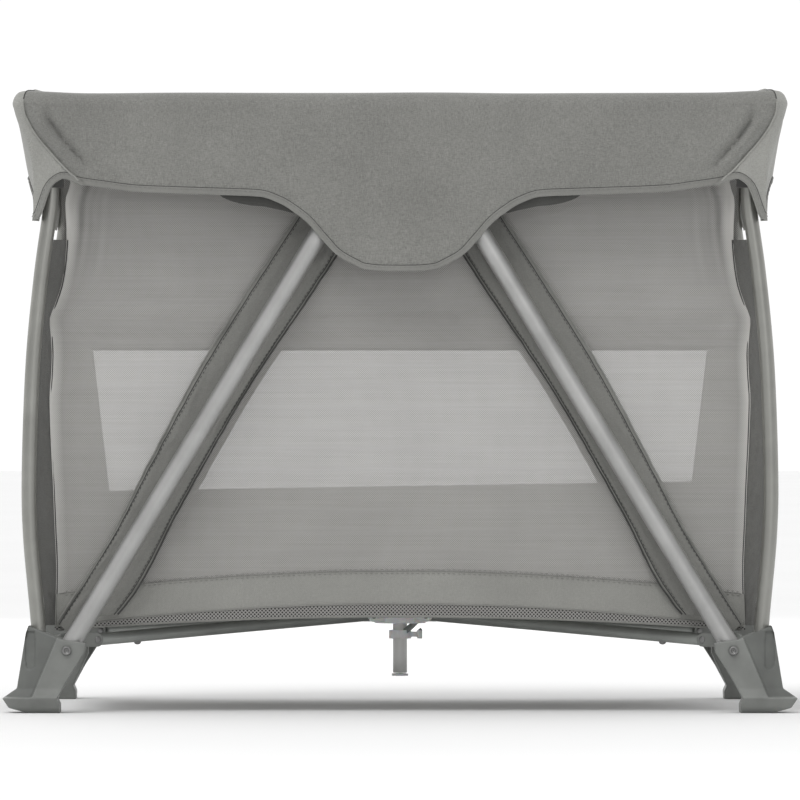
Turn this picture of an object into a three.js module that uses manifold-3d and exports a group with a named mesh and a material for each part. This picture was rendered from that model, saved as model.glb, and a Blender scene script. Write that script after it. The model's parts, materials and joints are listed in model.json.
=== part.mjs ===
// Travel play yard: a folding tube frame with a fabric and mesh tub hung inside it.
// Millimetres, +Z up, X along the length, Y along the depth, origin under the middle on the floor.
import * as THREE from 'three';
import { mergeVertices } from 'three/addons/utils/BufferGeometryUtils.js';
import Module from 'manifold-3d';

const wasm = await Module();
wasm.setup();

// ---- driving dimensions -------------------------------------------------------------------
const TOP = 707; // highest point of the rail covers
const COVER = 2.5; // thickness of the cover fabric
const COVER_X = 441; // outer face of the end covers
const COVER_Y = 325; // outer face of the long covers
const HEM_Z = 597; // lower edge of the rail covers
const FLAP_Z = 505; // lower edge of the flap over each top hub

const RAIL_Z = 683; // axis of every top rail
const RAIL_R = 8;
const RAIL_X = 425; // axis of the end rails
const RAIL_Y = 281.5; // axis of the long rails
const KNUCKLE_RISE = 10; // the folding knuckles turn above the rail axis
const CORNER_PIVOT_X = 385; // long rail to corner bracket
const CORNER_PIVOT_Y = 245; // end rail to corner bracket
const OUTER_LENGTH = 135; // long rail, corner pivot to knuckle
const HUB_PIVOT_X = 35; // inner rails and diagonals to top hub
const KNUCKLE_X = CORNER_PIVOT_X - OUTER_LENGTH;
const PLATE_GAP = 0.5; // side plates stand this far off the tube
const PLATE = 3; // thickness of steel side plates

const DIAG_R = 11;
const DIAG_Y = 306; // the diagonals run in front of the long rails
const DIAG_TOP_Z = 640;
const RIVET_X = 379;
const RIVET_Z = 71;

const POST_R = 8.5;
const BASE_R = 7;
const BASE_PIVOT = new THREE.Vector3(351, 256, 82); // base tube to foot
const HUB_PIVOT_RADIUS = 45; // base tube to base hub, from the middle
const HUB_PIVOT_Z = 106;
const LEG_R = 8.25;

const WALL_X = 398; // outer face of the mesh end walls
const WALL_Y = 262; // outer face of the mesh long walls
const WALL = 4;
const WALL_BOTTOM = 112;
const WALL_TOP = 700;
const FLOOR_Z = 126;
const BASSINET_X = 388;
const BASSINET_Y = 252;
const BASSINET_Z = 415;
const BOARD = 15; // board and frame under the mattress

const azimuth = Math.atan2(BASE_PIVOT.y, BASE_PIVOT.x);
const along = new THREE.Vector3(Math.cos(azimuth), Math.sin(azimuth), 0);
const hubPivot = along.clone().multiplyScalar(HUB_PIVOT_RADIUS).setZ(HUB_PIVOT_Z);

// ---- materials ----------------------------------------------------------------------------
const finish = (color, roughness, metalness) =>
  () => new THREE.MeshStandardMaterial({ color, roughness, metalness });
const aluminium = finish(0xa9adab, 0.32, 0.9);
const paintedSteel = finish(0x6e7373, 0.45, 0.6);
const zincSteel = finish(0x9a9c9a, 0.4, 0.85);
const footPlastic = finish(0x768074, 0.6, 0);
const clearPlastic = finish(0xd9dcd6, 0.3, 0);
const darkPlastic = finish(0x34383a, 0.55, 0);
const coverFabric = finish(0x878880, 0.9, 0);
const meshFabric = finish(0x96948e, 0.85, 0);
const liningFabric = finish(0x6f706c, 0.9, 0);
const matFabric = finish(0x9c9c97, 0.9, 0);

// ---- joining and cutting ------------------------------------------------------------------
function solidOf(geometry) {
  const bare = geometry.clone();
  bare.deleteAttribute('normal');
  bare.deleteAttribute('uv');
  const merged = mergeVertices(bare, 1e-4);
  return new wasm.Manifold(new wasm.Mesh({
    numProp: 3,
    vertProperties: new Float32Array(merged.attributes.position.array),
    triVerts: new Uint32Array(merged.index.array),
  }));
}

function geometryOf(solid) {
  const mesh = solid.getMesh();
  const geometry = new THREE.BufferGeometry();
  geometry.setAttribute('position', new THREE.BufferAttribute(new Float32Array(mesh.vertProperties), 3));
  geometry.setIndex(new THREE.BufferAttribute(new Uint32Array(mesh.triVerts), 1));
  return geometry;
}

const join = (...pieces) => geometryOf(pieces.map(solidOf).reduce((sum, piece) => sum.add(piece)));
const cut = (body, ...tools) =>
  geometryOf(tools.map(solidOf).reduce((rest, tool) => rest.subtract(tool), solidOf(body)));
const overlap = (a, b) => geometryOf(solidOf(a).intersect(solidOf(b)));

// Reflects a solid made for the +X +Y corner into another corner, keeping its faces outward.
function reflect(geometry, sx, sy) {
  const copy = geometryOf(solidOf(geometry));
  const position = copy.attributes.position;
  for (let i = 0; i < position.count; i += 1) {
    position.setX(i, position.getX(i) * sx);
    position.setY(i, position.getY(i) * sy);
  }
  if (sx * sy < 0) {
    const index = copy.index;
    for (let i = 0; i < index.count; i += 3) {
      const second = index.getX(i + 1);
      index.setX(i + 1, index.getX(i + 2));
      index.setX(i + 2, second);
    }
  }
  return copy;
}

// ---- simple shapes ------------------------------------------------------------------------
const point = (x, y, z) => new THREE.Vector3(x, y, z);

function block(x0, x1, y0, y1, z0, z1) {
  const geometry = new THREE.BoxGeometry(x1 - x0, y1 - y0, z1 - z0);
  return geometry.translate((x0 + x1) / 2, (y0 + y1) / 2, (z0 + z1) / 2);
}

function rod(from, to, radius, sides = 12) {
  const span = to.clone().sub(from);
  const geometry = new THREE.CylinderGeometry(radius, radius, span.length(), sides);
  geometry.applyQuaternion(new THREE.Quaternion().setFromUnitVectors(point(0, 1, 0), span.normalize()));
  const middle = from.clone().add(to).multiplyScalar(0.5);
  return geometry.translate(middle.x, middle.y, middle.z);
}

// A plate with its outline in X and Z, from y0 to y1.
function plate(shape, y0, y1) {
  const geometry = new THREE.ExtrudeGeometry(shape, { depth: y1 - y0, bevelEnabled: false, curveSegments: 4 });
  return geometry.rotateX(Math.PI / 2).translate(0, y1, 0);
}

const outline = (points) => new THREE.Shape(points.map(([x, z]) => new THREE.Vector2(x, z)));

// A round-ended bar outline between two centres.
function bar(x0, z0, x1, z1, radius) {
  const turn = Math.atan2(z1 - z0, x1 - x0);
  const shape = new THREE.Shape();
  shape.absarc(x0, z0, radius, turn + Math.PI / 2, turn + Math.PI * 1.5, false);
  shape.absarc(x1, z1, radius, turn - Math.PI / 2, turn + Math.PI / 2, false);
  return shape;
}

// ---- frame pieces for the +X +Y corner ----------------------------------------------------
function foot() {
  const ear = outline([[387, 0], [424, 0], [445, 6], [452, 17], [436, 28], [426, 91], [423, 99],
    [385, 84], [357, 80], [359, 68], [377, 40], [390, 16], [387, 10]]);
  const heel = outline([[387, 0], [424, 0], [445, 6], [452, 17], [436, 28], [426, 91], [423, 99],
    [385, 84], [372, 82], [372, 55], [378, 42], [390, 16], [387, 10]]);
  const sideways = outline([[262, 0], [315, 0], [322, 6], [327, 17], [323.5, 28], [322.5, 110], [262, 110]]);
  const envelope = plate(sideways, -500, -300).rotateZ(Math.PI / 2);
  const shell = overlap(join(plate(ear, 290, 330), plate(heel, 255, 290.5)), envelope);
  const cheeks = [-1, 1].map((side) => {
    const inner = side * (BASE_R + PLATE_GAP);
    const outer = side * (BASE_R + PLATE_GAP + PLATE);
    const cheek = plate(bar(0, 0, 36, 0, 8), Math.min(inner, outer), Math.max(inner, outer));
    return cheek.rotateZ(azimuth).translate(BASE_PIVOT.x, BASE_PIVOT.y, BASE_PIVOT.z);
  });
  return cut(
    join(shell, ...cheeks),
    block(340, 404, DIAG_Y - 11.5, DIAG_Y + 11.5, 48, 150),
    rod(point(412.3, RAIL_Y, 52), point(412.3, RAIL_Y, 130), POST_R + 0.8),
    rod(point(RIVET_X, 291.5, RIVET_Z), point(RIVET_X, 330, RIVET_Z), 4.4, 12),
  );
}

const footRivet = () => join(
  rod(point(RIVET_X, 292, RIVET_Z), point(RIVET_X, 323.8, RIVET_Z), 4, 12),
  rod(point(RIVET_X, 323.5, RIVET_Z), point(RIVET_X, 326, RIVET_Z), 6, 16),
);

function post() {
  const bow = [[412.3, 55], [412.6, 100], [421.5, 200], [423, 277], [418.5, 400], [409, 500], [398, 583], [397.5, 638]];
  const path = new THREE.CatmullRomCurve3(bow.map(([x, z]) => point(x, RAIL_Y, z)));
  const ring = new THREE.Shape().absarc(0, 0, POST_R, 0, Math.PI * 2, false);
  return new THREE.ExtrudeGeometry(ring, { steps: 14, curveSegments: 12, extrudePath: path });
}

function cornerBracket() {
  const body = outline([[384, 598], [410.5, 598], [437, 668], [437, 697], [400, 697], [400, 672], [384, 640]]);
  const longCheeks = [1, -1].map((side) => {
    const near = RAIL_Y + side * (RAIL_R + PLATE_GAP);
    const far = near + side * PLATE;
    return plate(bar(CORNER_PIVOT_X, RAIL_Z, 412, RAIL_Z, 9), Math.min(near, far), Math.max(near, far));
  });
  const endCheeks = [1, -1].map((side) => {
    const near = side * (RAIL_R + PLATE_GAP);
    const far = near + side * PLATE;
    const cheek = plate(bar(CORNER_PIVOT_Y, RAIL_Z, 280, RAIL_Z, 9), Math.min(near, far), Math.max(near, far));
    return cheek.rotateZ(Math.PI / 2).translate(RAIL_X, 0, 0);
  });
  return cut(
    join(plate(body, RAIL_Y - 12.5, RAIL_Y + 12.5), ...longCheeks, ...endCheeks),
    rod(point(397.7, RAIL_Y, 570), point(397.7, RAIL_Y, 642), POST_R + 0.8),
  );
}

const diagonal = () => {
  const low = point(RIVET_X, DIAG_Y, RIVET_Z);
  const high = point(HUB_PIVOT_X, DIAG_Y, DIAG_TOP_Z);
  const reach = high.clone().sub(low).normalize().multiplyScalar(10);
  const hole = rod(point(RIVET_X, 290, RIVET_Z), point(RIVET_X, 325, RIVET_Z), 4.4, 12);
  return cut(rod(low.clone().sub(reach), high.clone().add(reach), DIAG_R, 20), hole);
};

const baseTube = () => {
  const reach = BASE_PIVOT.clone().sub(hubPivot).normalize().multiplyScalar(BASE_R);
  return rod(hubPivot.clone().sub(reach), BASE_PIVOT.clone().add(reach), BASE_R, 14);
};

// A rail tube on the X axis with a side plate that carries its knuckle, centre line at y = 0.
function knuckleRail(plainEnd, knuckle, side) {
  const inward = Math.sign(plainEnd - knuckle);
  const root = knuckle + inward * 34;
  const near = side * (RAIL_R + 0.3);
  const far = near + side * PLATE;
  return join(
    rod(point(plainEnd + inward * RAIL_R, 0, RAIL_Z), point(knuckle + inward * 12, 0, RAIL_Z), RAIL_R),
    plate(bar(root, RAIL_Z, knuckle, RAIL_Z + KNUCKLE_RISE, 8), Math.min(near, far), Math.max(near, far)),
    rod(point(root, 0, RAIL_Z), point(root, side * (RAIL_R + 1), RAIL_Z), 5, 10),
  );
}

const outerRail = () => knuckleRail(CORNER_PIVOT_X, KNUCKLE_X, -1).translate(0, RAIL_Y, 0);
const innerRail = () => knuckleRail(HUB_PIVOT_X, KNUCKLE_X, 1).translate(0, RAIL_Y, 0);
// One half of an end rail, made along +X and turned to run from the +Y or -Y corner to the middle.
const endRail = (sx, sy) =>
  knuckleRail(CORNER_PIVOT_Y, 0, 1).rotateZ(sy * Math.PI / 2).translate(sx * RAIL_X, 0, 0);

// ---- top hub, made for the +Y rail; its spacer sits clear of both inner rails as they turn --------------------------------------------------------
const BUTTON_Z = 655;
function topHub() {
  const front = outline([[-52, 697], [-52, 672], [-47, 626], [47, 626], [52, 672], [52, 697]]);
  const rear = outline([[-52, 697], [-52, 670], [52, 670], [52, 697]]);
  return cut(
    join(
      plate(front, RAIL_Y + RAIL_R + 0.5, RAIL_Y + RAIL_R + 4.5),
      plate(rear, RAIL_Y - RAIL_R - 4.5, RAIL_Y - RAIL_R - 0.5),
      block(-21, -5, RAIL_Y - 9, RAIL_Y + 9, 672, 697),
    ),
    rod(point(0, 280, BUTTON_Z), point(0, 330, BUTTON_Z), 9.6, 20),
  );
}
const hubButton = () => join(
  rod(point(0, 283, BUTTON_Z), point(0, 313, BUTTON_Z), 9, 20),
  rod(point(0, 312.5, BUTTON_Z), point(0, 315, BUTTON_Z), 7.5, 20),
);

// ---- base hub -----------------------------------------------------------------------------
function baseHub() {
  const arms = [];
  for (const turn of [azimuth, Math.PI - azimuth, Math.PI + azimuth, -azimuth]) {
    for (const side of [-1, 1]) {
      const near = side * (BASE_R + PLATE_GAP);
      const far = near + side * PLATE;
      const arm = plate(bar(24, 0, HUB_PIVOT_RADIUS, 0, 8), Math.min(near, far), Math.max(near, far));
      arms.push(arm.rotateZ(turn).translate(0, 0, HUB_PIVOT_Z));
    }
  }
  return join(rod(point(0, 0, 96), point(0, 0, 116), 30, 24), ...arms);
}

function turned(profile, sides) {
  const points = profile.map(([radius, z]) => new THREE.Vector2(radius, z));
  return new THREE.LatheGeometry(points, sides).rotateX(Math.PI / 2);
}
const hubCap = () => turned([[0, 116.3], [28, 116.3], [27, 120], [20, 122.6], [0, 123.4]], 24);
const centreLeg = () => rod(point(0, 0, 38), point(0, 0, 95.7), LEG_R);
const legCap = () => turned([[0, 34.5], [9.2, 34.5], [9.8, 35.5], [9.8, 37.2], [0, 37.7]], 20);
const releaseCollar = () => join(
  cut(rod(point(0, 0, 78), point(0, 0, 88), 13, 20), rod(point(0, 0, 70), point(0, 0, 95), 9, 20)),
  block(11, 24, -3, 3, 80, 86),
  block(20, 26, -6, 6, 78, 88),
);

// ---- soft parts ---------------------------------------------------------------------------
// The long cover: a channel over the rail, with returns at the corners and a flap over the hub.
function longCover() {
  const drop = outline([[-COVER_X, TOP], [-COVER_X, HEM_Z], [-150, HEM_Z], [-110, HEM_Z - 10],
    [-50, FLAP_Z + 10], [-40, FLAP_Z], [40, FLAP_Z], [50, FLAP_Z + 10], [110, HEM_Z - 10],
    [150, HEM_Z], [COVER_X, HEM_Z], [COVER_X, TOP]]);
  const face = plate(drop, COVER_Y - COVER, COVER_Y);
  const top = block(-COVER_X, COVER_X, 264, COVER_Y, TOP - COVER, TOP);
  const lining = block(-390, 390, 264, 264 + COVER, 640, TOP);
  const returns = [-1, 1].map((side) => {
    const near = side * (COVER_X - COVER);
    const far = side * COVER_X;
    return block(Math.min(near, far), Math.max(near, far), 264, COVER_Y, HEM_Z, TOP);
  });
  return join(face, top, lining, ...returns);
}

// The end cover: the same channel between the two long covers.
const endCover = () => join(
  block(COVER_X - COVER, COVER_X, -263, 263, HEM_Z, TOP),
  block(402, COVER_X, -263, 263, TOP - COVER, TOP),
  block(402, 402 + COVER, -255, 255, 640, TOP),
);

const bassinet = () => cut(
  block(-BASSINET_X, BASSINET_X, -BASSINET_Y, BASSINET_Y, BASSINET_Z, WALL_TOP - 6),
  block(-BASSINET_X + 3, BASSINET_X - 3, -BASSINET_Y + 3, BASSINET_Y - 3, BASSINET_Z + BOARD, TOP),
);

function mattress() {
  const [halfX, halfY, corner] = [378, 242, 30];
  const shape = new THREE.Shape();
  shape.absarc(halfX - corner, halfY - corner, corner, 0, Math.PI / 2, false);
  shape.absarc(corner - halfX, halfY - corner, corner, Math.PI / 2, Math.PI, false);
  shape.absarc(corner - halfX, corner - halfY, corner, Math.PI, Math.PI * 1.5, false);
  shape.absarc(halfX - corner, corner - halfY, corner, Math.PI * 1.5, Math.PI * 2, false);
  const slab = new THREE.ExtrudeGeometry(shape, { depth: 27, bevelEnabled: false, curveSegments: 5 });
  return slab.translate(0, 0, BASSINET_Z + BOARD + 0.6);
}

// ---- assembly -----------------------------------------------------------------------------
const yard = new THREE.Group();
function add(name, geometry, material) {
  const mesh = new THREE.Mesh(geometry, material());
  mesh.name = name;
  yard.add(mesh);
}

const cornerPieces = [
  ['foot', foot(), footPlastic],
  ['foot_rivet', footRivet(), zincSteel],
  ['post', post(), paintedSteel],
  ['corner_bracket', cornerBracket(), darkPlastic],
  ['diagonal', diagonal(), aluminium],
  ['base_tube', baseTube(), paintedSteel],
  ['outer_rail', outerRail(), zincSteel],
  ['inner_rail', innerRail(), zincSteel],
];
for (const [depth, sy] of [['front', -1], ['back', 1]]) {
  for (const [side, sx] of [['left', -1], ['right', 1]]) {
    for (const [name, geometry, material] of cornerPieces) {
      add(`${name}_${depth}_${side}`, reflect(geometry, sx, sy), material);
    }
    add(`end_rail_${depth}_${side}`, endRail(sx, sy), zincSteel);
  }
  add(`top_hub_${depth}`, reflect(topHub(), 1, sy), darkPlastic);
  add(`hub_button_${depth}`, reflect(hubButton(), 1, sy), clearPlastic);
  add(`long_cover_${depth}`, reflect(longCover(), 1, sy), coverFabric);
  const wallY = [sy * WALL_Y, sy * (WALL_Y - WALL)].sort((a, b) => a - b);
  add(`mesh_wall_${depth}`, block(-WALL_X, WALL_X, ...wallY, WALL_BOTTOM, WALL_TOP), meshFabric);
}
for (const [side, sx] of [['left', -1], ['right', 1]]) {
  add(`end_cover_${side}`, reflect(endCover(), sx, 1), coverFabric);
  const wallX = [sx * WALL_X, sx * (WALL_X - WALL)].sort((a, b) => a - b);
  const halfY = WALL_Y - WALL - 0.5;
  add(`mesh_wall_${side}`, block(...wallX, -halfY, halfY, WALL_BOTTOM, WALL_TOP), meshFabric);
}
add('base_hub', baseHub(), clearPlastic);
add('base_hub_cap', hubCap(), clearPlastic);
add('centre_leg', centreLeg(), paintedSteel);
add('centre_leg_cap', legCap(), clearPlastic);
add('release_collar', releaseCollar(), clearPlastic);
add('tub_floor', block(-393, 393, -257, 257, FLOOR_Z, FLOOR_Z + WALL), liningFabric);
add('bassinet', bassinet(), liningFabric);
add('mattress', mattress(), matFabric);

export default yard;
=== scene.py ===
"""Looks of a folding travel play yard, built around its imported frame. Metres, +Z up."""

import json
import math

import bpy
import numpy as np
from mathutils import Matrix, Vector, noise


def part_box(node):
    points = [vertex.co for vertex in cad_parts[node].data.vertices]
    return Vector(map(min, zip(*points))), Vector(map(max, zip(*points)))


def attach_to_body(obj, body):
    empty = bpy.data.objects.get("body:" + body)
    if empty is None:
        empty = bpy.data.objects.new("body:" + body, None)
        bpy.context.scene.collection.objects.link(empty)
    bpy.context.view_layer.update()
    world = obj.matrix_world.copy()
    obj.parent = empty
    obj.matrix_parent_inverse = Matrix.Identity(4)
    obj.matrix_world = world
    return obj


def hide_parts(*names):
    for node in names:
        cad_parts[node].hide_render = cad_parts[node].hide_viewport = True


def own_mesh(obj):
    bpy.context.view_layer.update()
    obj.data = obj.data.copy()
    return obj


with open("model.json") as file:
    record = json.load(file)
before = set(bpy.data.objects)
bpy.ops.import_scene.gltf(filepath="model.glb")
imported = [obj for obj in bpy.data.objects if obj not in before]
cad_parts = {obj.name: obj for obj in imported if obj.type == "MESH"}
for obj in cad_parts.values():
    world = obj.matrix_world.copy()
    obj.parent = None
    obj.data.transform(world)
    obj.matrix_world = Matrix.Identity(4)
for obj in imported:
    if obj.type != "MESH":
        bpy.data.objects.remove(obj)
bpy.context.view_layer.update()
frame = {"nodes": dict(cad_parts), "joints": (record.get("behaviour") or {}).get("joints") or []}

NODES = frame["nodes"]

# ---- places taken from the frame ---------------------------------------------------------------
COVER_LOW, COVER_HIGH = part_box("long_cover_front")
COVER_X = COVER_HIGH.x  # outer face of the end covers
COVER_Y = -COVER_LOW.y  # outer face of the long covers
COVER_TOP = COVER_HIGH.z
WALL_LOW, WALL_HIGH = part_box("mesh_wall_front")
WALL_Y = -WALL_LOW.y  # outer face of the mesh long walls
WALL_X = WALL_HIGH.x  # outer face of the mesh end walls
BASSINET_LOW, BASSINET_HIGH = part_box("bassinet")
FLOOR_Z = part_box("tub_floor")[1].z
POST_LOW, POST_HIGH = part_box("post_front_left")

JOINTS = {j["name"]: j for j in frame["joints"]}
RIVET = Vector(JOINTS["diagonal_turn_back_right"]["pos_m"])  # diagonal to foot
CORNER_PIVOT_X = JOINTS["outer_rail_turn_back_right"]["pos_m"][0]
KNUCKLE_X = JOINTS["inner_rail_turn_back_right"]["pos_m"][0]
CORNER_PIVOT_Y = JOINTS["end_rail_turn_back_right"]["pos_m"][1]
BASE_PIVOT = Vector(JOINTS["corner_level_back_right"]["pos_m"])
HUB_PIVOT = Vector(JOINTS["base_tube_turn_back_right"]["pos_m"])
DIAG_TOP = Vector((0.035, RIVET.y, 0.640))  # diagonal to top hub

LONG_SIDES = [("front", -1), ("back", 1)]
END_SIDES = [("left", -1), ("right", 1)]
CORNERS = [(f"{depth}_{side}", sx, sy) for depth, sy in LONG_SIDES for side, sx in END_SIDES]


# ---- small sums --------------------------------------------------------------------------------
def clamp(t):
    return max(0.0, min(1.0, t))


def ease(t):
    """0 to 1 with level ends."""
    t = clamp(t)
    return t * t * (3 - 2 * t)


def hump(x, width):
    """A bell curve, 1 at x = 0."""
    return math.exp(-((x / width) ** 2))


def wobble(point, scale, size, seed=0.0):
    return noise.noise(Vector((point[0] * scale + seed, point[1] * scale, point[2] * scale))) * size


def span(low, high, step):
    """Evenly spaced numbers from low to high, no further apart than step."""
    count = max(2, int(math.ceil(abs(high - low) / step)) + 1)
    return list(np.linspace(low, high, count))


def mirrored(point, sx, sy):
    return Vector((point[0] * sx, point[1] * sy, point[2]))


def through(pairs, x):
    """A smooth curve of value against x through a short list of (x, value) pairs."""
    if x <= pairs[0][0]:
        return pairs[0][1]
    if x >= pairs[-1][0]:
        return pairs[-1][1]
    i = max(k for k in range(len(pairs) - 1) if pairs[k][0] <= x)

    def slope(k):
        return (pairs[k + 1][1] - pairs[k][1]) / (pairs[k + 1][0] - pairs[k][0])

    def tangent(k):
        if k == 0 or k == len(pairs) - 1:
            return slope(min(k, len(pairs) - 2))
        before, after = slope(k - 1), slope(k)
        return 0.0 if before * after <= 0 else 2 * before * after / (before + after)

    (x0, y0), (x1, y1) = pairs[i], pairs[i + 1]
    width = x1 - x0
    t = (x - x0) / width
    return (y0 * (1 + 2 * t) * (1 - t) ** 2 + tangent(i) * width * t * (1 - t) ** 2
            + y1 * t * t * (3 - 2 * t) + tangent(i + 1) * width * t * t * (t - 1))


def catmull(a, b, c, d, t):
    """The point at t between b and c of a Catmull-Rom curve."""
    return 0.5 * ((2 * b) + (c - a) * t + (2 * a - 5 * b + 4 * c - d) * t * t
                  + (3 * b - a - 3 * c + d) * t ** 3)


def smooth_path(points, steps):
    """A Catmull-Rom curve through the points."""
    pts = [Vector(p) for p in points]
    pts = [pts[0] * 2 - pts[1]] + pts + [pts[-1] * 2 - pts[-2]]
    curve = [catmull(*pts[i - 1 : i + 3], k / steps) for i in range(1, len(pts) - 2) for k in range(steps)]
    return curve + [pts[-2]]


# ---- materials ---------------------------------------------------------------------------------
class Nodes:
    """A short way to write a material's node tree."""

    def __init__(self, name):
        self.material = bpy.data.materials.new(name)
        self.material.use_nodes = True
        self.tree = self.material.node_tree
        self.shader = self.tree.nodes["Principled BSDF"]
        self.place = self.add("ShaderNodeTexCoord").outputs["Object"]

    def add(self, kind, inputs=None, **settings):
        node = self.tree.nodes.new(kind)
        for key, value in settings.items():
            setattr(node, key, value)
        for key, value in (inputs or {}).items():
            if isinstance(value, bpy.types.NodeSocket):
                self.tree.links.new(value, node.inputs[key])
            else:
                node.inputs[key].default_value = value
        return node

    def link(self, socket, target):
        self.tree.links.new(socket, self.shader.inputs[target])

    def fixed(self, **sockets):
        for key, value in sockets.items():
            self.shader.inputs[key.replace("_", " ")].default_value = value

    def maths(self, operation, a, b=0.0):
        return self.add("ShaderNodeMath", {0: a, 1: b}, operation=operation).outputs[0]

    def ripple(self, angle):
        """The size of a sine wave."""
        return self.maths("ABSOLUTE", self.maths("SINE", angle))

    def split(self):
        return self.add("ShaderNodeSeparateXYZ", {"Vector": self.place}).outputs

    def mapped(self, scale):
        return self.add("ShaderNodeMapping", {"Vector": self.place, "Scale": scale}).outputs[0]

    def noise(self, scale, detail=2.0, vector=None, roughness=0.5):
        settings = {"Vector": vector or self.place, "Scale": scale, "Detail": detail, "Roughness": roughness}
        return self.add("ShaderNodeTexNoise", settings).outputs["Fac"]

    def ramp(self, socket, low, high, low_at=0.3, high_at=0.7):
        node = self.add("ShaderNodeValToRGB", {"Fac": socket})
        for element, at, colour in zip(node.color_ramp.elements, (low_at, high_at), (low, high)):
            element.position = at
            element.color = (*colour, 1)
        return node.outputs["Color"]

    def blend(self, a, b, factor=1.0, kind="MULTIPLY"):
        inputs = {"Factor": factor, 6: a, 7: b}
        return self.add("ShaderNodeMix", inputs, data_type="RGBA", blend_type=kind).outputs[2]

    def bump(self, height, strength, distance):
        node = self.add("ShaderNodeBump", {"Height": height, "Strength": strength, "Distance": distance})
        self.link(node.outputs["Normal"], "Normal")

    def uneven_gloss(self, socket, roughness, below):
        """Roughness that follows a noise, from a little below the given value to a little above."""
        limits = {"Value": socket, "To Min": roughness - below, "To Max": roughness + 0.1}
        self.link(self.add("ShaderNodeMapRange", limits).outputs[0], "Roughness")


def srgb(level, tint=(1.0, 1.0, 1.0)):
    """Linear colour of an 8-bit grey, with a small tint."""
    return tuple(((level / 255) ** 2.2) * t for t in tint)


def grey(value):
    return (value, value, value)


WARM = (1.0, 1.0, 0.935)
MESH_TINT = (1.0, 0.985, 0.945)


def thread_grid(m, pitch, soft=0.35):
    """Height of two crossed sets of threads, woven in object space."""
    x, y, z = m.split()
    level = m.maths("MULTIPLY", z, math.pi / pitch)
    across = m.maths("MULTIPLY", m.maths("ADD", x, y), math.pi / pitch)
    weft, warp = m.ripple(level), m.ripple(across)
    same_side = m.maths("MULTIPLY", m.maths("SINE", level), m.maths("SINE", across))
    over = m.maths("GREATER_THAN", same_side)
    mixed = m.add("ShaderNodeMix", {"Factor": over, 2: weft, 3: warp}, data_type="FLOAT")
    return m.maths("ADD", mixed.outputs[0], m.maths("MULTIPLY", m.noise(900.0, 3.0), soft))


def woven(name, level, pitch=0.0011, spread=14, strength=0.35, roughness=0.92, sheen=0.25):
    """Heathered woven cloth: crossed threads, light and dark yarns, and slow changes of tone."""
    m = Nodes(name)
    height = thread_grid(m, pitch)
    weft, warp = [m.noise(1.0, 4.0, m.mapped(scale), 0.7) for scale in ((260, 260, 1500), (1300, 1300, 220))]
    crossed = m.maths("MULTIPLY", m.maths("ADD", weft, warp), 0.5)
    heather = m.ramp(crossed, srgb(level - spread, WARM), srgb(level + spread, WARM), 0.32, 0.68)
    tone = m.ramp(m.noise(9.0, 3.0), grey(0.9), grey(1.05))
    thread = m.ramp(height, grey(0.8), grey(1.06), 0.1, 1.0)
    m.link(m.blend(m.blend(heather, tone), thread), "Base Color")
    m.bump(height, strength, 0.0006)
    m.fixed(Roughness=roughness, Sheen_Weight=sheen, Sheen_Roughness=0.6, Specular_IOR_Level=0.2)
    return m.material


def netting(name, level, cell=0.0022, alpha=0.6, contrast=0.35, edge=False):
    """Knitted mesh: rows of diamond holes between threads. With edge, the sheet's stored marks give it painted
    light and shade streaks along its pleats, and a painted highlight near its side edges, where it is also less
    see-through as if folded double."""
    m = Nodes(name)
    x, y, z = m.split()
    along = m.maths("MULTIPLY", m.maths("ADD", x, y), math.pi / cell)
    up = m.maths("MULTIPLY", z, math.pi / cell)
    hole = m.maths("MULTIPLY", *[m.ripple(m.maths(way, along, up)) for way in ("ADD", "SUBTRACT")])
    streaks = m.noise(1.0, 3.0, m.mapped((9.0, 9.0, 420.0)))
    uneven = m.maths("MULTIPLY", m.maths("ADD", m.noise(14.0), streaks), 0.5)
    tone = m.ramp(uneven, grey(0.94), grey(1.045), 0.36, 0.64)
    knit = m.ramp(hole, srgb(level, MESH_TINT), srgb(level * (1 - contrast), MESH_TINT), 0.25, 0.75)
    colour = m.blend(knit, tone)
    if edge:
        stored = m.add("ShaderNodeAttribute", attribute_name="reach").outputs["Color"]
        marks = m.add("ShaderNodeSeparateColor", {0: stored}).outputs
        # painted light and shade: lighter and darker streaks along the top pleats
        pleat_light_and_shade = m.blend(colour, m.ramp(marks["Green"], grey(0.72), grey(1.3), 0.0, 1.0))
        # painted highlight near the side edges, which are also made less see-through
        side_highlight_share = m.maths("MULTIPLY", marks["Red"], 0.8)
        colour = m.blend(pleat_light_and_shade, (*srgb(min(255, level + 40), MESH_TINT), 1), side_highlight_share, "MIX")
        m.link(m.maths("ADD", m.maths("MULTIPLY", marks["Red"], 0.9 - alpha), alpha), "Alpha")
    else:
        m.fixed(Alpha=alpha)
    m.link(colour, "Base Color")
    m.bump(hole, 0.35, 0.0004)
    m.fixed(Roughness=0.85, Sheen_Weight=0.25, Sheen_Roughness=0.5, Specular_IOR_Level=0.2)
    return m.material


def moulded(name, level, tint=WARM, roughness=0.5):
    """Moulded plastic: fine spark grain, dust in slow patches, a painted highlight on sharp edges and painted
    shade in the hollows.
    """
    m = Nodes(name)
    slow = m.noise(35.0, 4.0)
    colour = m.ramp(slow, srgb(level - 7, tint), srgb(level + 6, tint))
    edge = m.add("ShaderNodeNewGeometry").outputs["Pointiness"]
    # painted highlight: sharp edges (high pointiness) are mixed towards a paler colour
    edge_highlight_mask = m.ramp(edge, grey(0), grey(0.3), 0.53, 0.62)
    edge_highlighted = m.blend(colour, (*srgb(level + 34, tint), 1), edge_highlight_mask, "MIX")
    # painted shade: hollows (low pointiness) are darkened
    hollow = m.ramp(edge, grey(0.55), grey(1), 0.40, 0.48)
    m.link(m.blend(edge_highlighted, hollow), "Base Color")
    m.uneven_gloss(slow, roughness, 0.06)
    m.bump(m.noise(1800.0), 0.12, 0.0003)
    return m.material


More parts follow.
